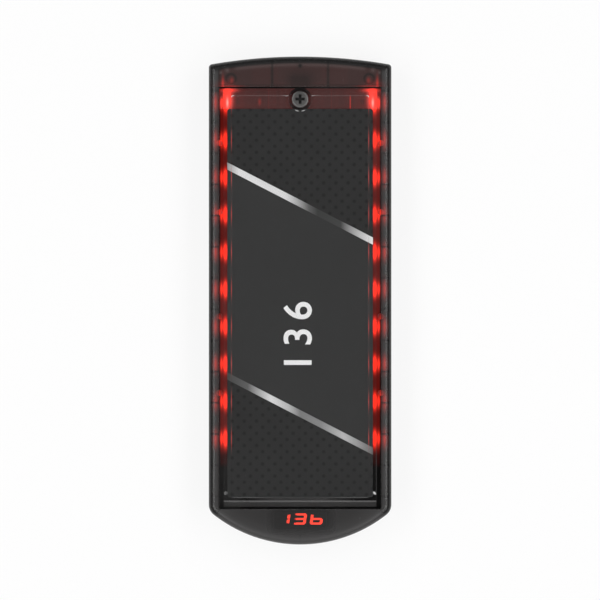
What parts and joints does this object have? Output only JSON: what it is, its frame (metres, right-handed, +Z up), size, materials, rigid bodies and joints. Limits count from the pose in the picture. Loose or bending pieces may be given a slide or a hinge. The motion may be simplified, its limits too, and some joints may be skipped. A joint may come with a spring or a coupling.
{
  "type": "guest pager",
  "caption": "Paddle-style restaurant guest pager: smoke-tinted case, clear screw-held label window, red LEDs down both sides and a small red number display in the chin.",
  "frame": {"origin": "under the middle of the paddle, on the surface that its feet rest on", "axes": "+Z up out of the front face, +Y along the paddle from the display chin to the screw end, +X to the right seen from the front with the chin towards the viewer"},
  "size_m": [0.0762, 0.2036, 0.019],
  "materials": {
    "smoke_plastic": "glossy smoke-tinted translucent polycarbonate",
    "rear_plastic": "fine-textured black plastic",
    "dark_screw": "black-oxide steel",
    "foot_rubber": "soft black rubber",
    "clear_plastic": "clear polished plastic, very light smoke tint",
    "printed_card": "printed charcoal card with silver stripes",
    "bright_screw": "nickel-plated steel",
    "insert_brass": "knurled brass",
    "board_laminate": "green solder mask on glass-fibre laminate",
    "small_screw": "zinc-plated steel",
    "led_package": "white package, red light",
    "chip_ceramic": "black chip with tinned ends",
    "display_black": "black moulded housing",
    "segment_red": "diffused red epoxy",
    "chip_epoxy": "black epoxy",
    "can_metal": "nickel-plated can",
    "can_sleeve": "bare aluminium can",
    "module_laminate": "blue solder mask on laminate",
    "shield_tin": "tin-plated steel",
    "antenna_copper": "tinned copper strip",
    "buzzer_black": "black plastic sounder",
    "battery_wrap": "blue shrink wrap over a lithium cell",
    "foam_grey": "adhesive foam",
    "wire_red": "PVC insulation",
    "wire_black": "PVC insulation",
    "connector_white": "natural nylon",
    "motor_steel": "drawn steel can",
    "shaft_steel": "ground steel",
    "weight_metal": "sintered tungsten alloy",
    "holder_rubber": "soft rubber",
    "contact_plate": "nickel-plated brass",
    "spring_bronze": "phosphor bronze strip"
  },
  "bodies": {
    "case": {"front_case": "smoke_plastic", "rear_case": "rear_plastic", "case_screws": "dark_screw", "rubber_feet": "foot_rubber", "label_card": "printed_card", "screw_insert": "insert_brass", "main_board": "board_laminate", "board_screws": "small_screw", "leds_left": "led_package", "leds_right": "led_package", "led_resistors": "chip_ceramic", "display_housing": "display_black", "display_segments": "segment_red", "microcontroller": "chip_epoxy", "crystal": "can_metal", "capacitor": "can_sleeve", "radio_board": "module_laminate", "radio_shield": "shield_tin", "loop_antenna": "antenna_copper", "buzzer": "buzzer_black", "battery_pack": "battery_wrap", "battery_foam": "foam_grey", "battery_lead_red": "wire_red", "battery_lead_black": "wire_black", "battery_plug": "connector_white", "battery_socket": "connector_white", "motor_can": "motor_steel", "motor_holder": "holder_rubber", "charge_contacts": "contact_plate", "contact_springs": "spring_bronze"},
    "window": {"label_window": "clear_plastic"},
    "screw": {"label_screw": "bright_screw"},
    "rotor": {"motor_shaft": "shaft_steel", "motor_weight": "weight_metal"}
  },
  "joints": [
    {"name": "window_tilt", "type": "hinge", "parent": "case", "child": "window", "pos_m": [0, -0.087, 0.016], "axis": [1, 0, 0], "range_deg": [0, 30]},
    {"name": "screw_travel", "type": "slide", "parent": "window", "child": "screw", "axis": [0, 0, 1], "range_m": [0, 0.0032]},
    {"name": "motor_spin", "type": "hinge", "parent": "case", "child": "rotor", "pos_m": [0, -0.04, 0.0064], "axis": [1, 0, 0], "continuous": true}
  ]
}
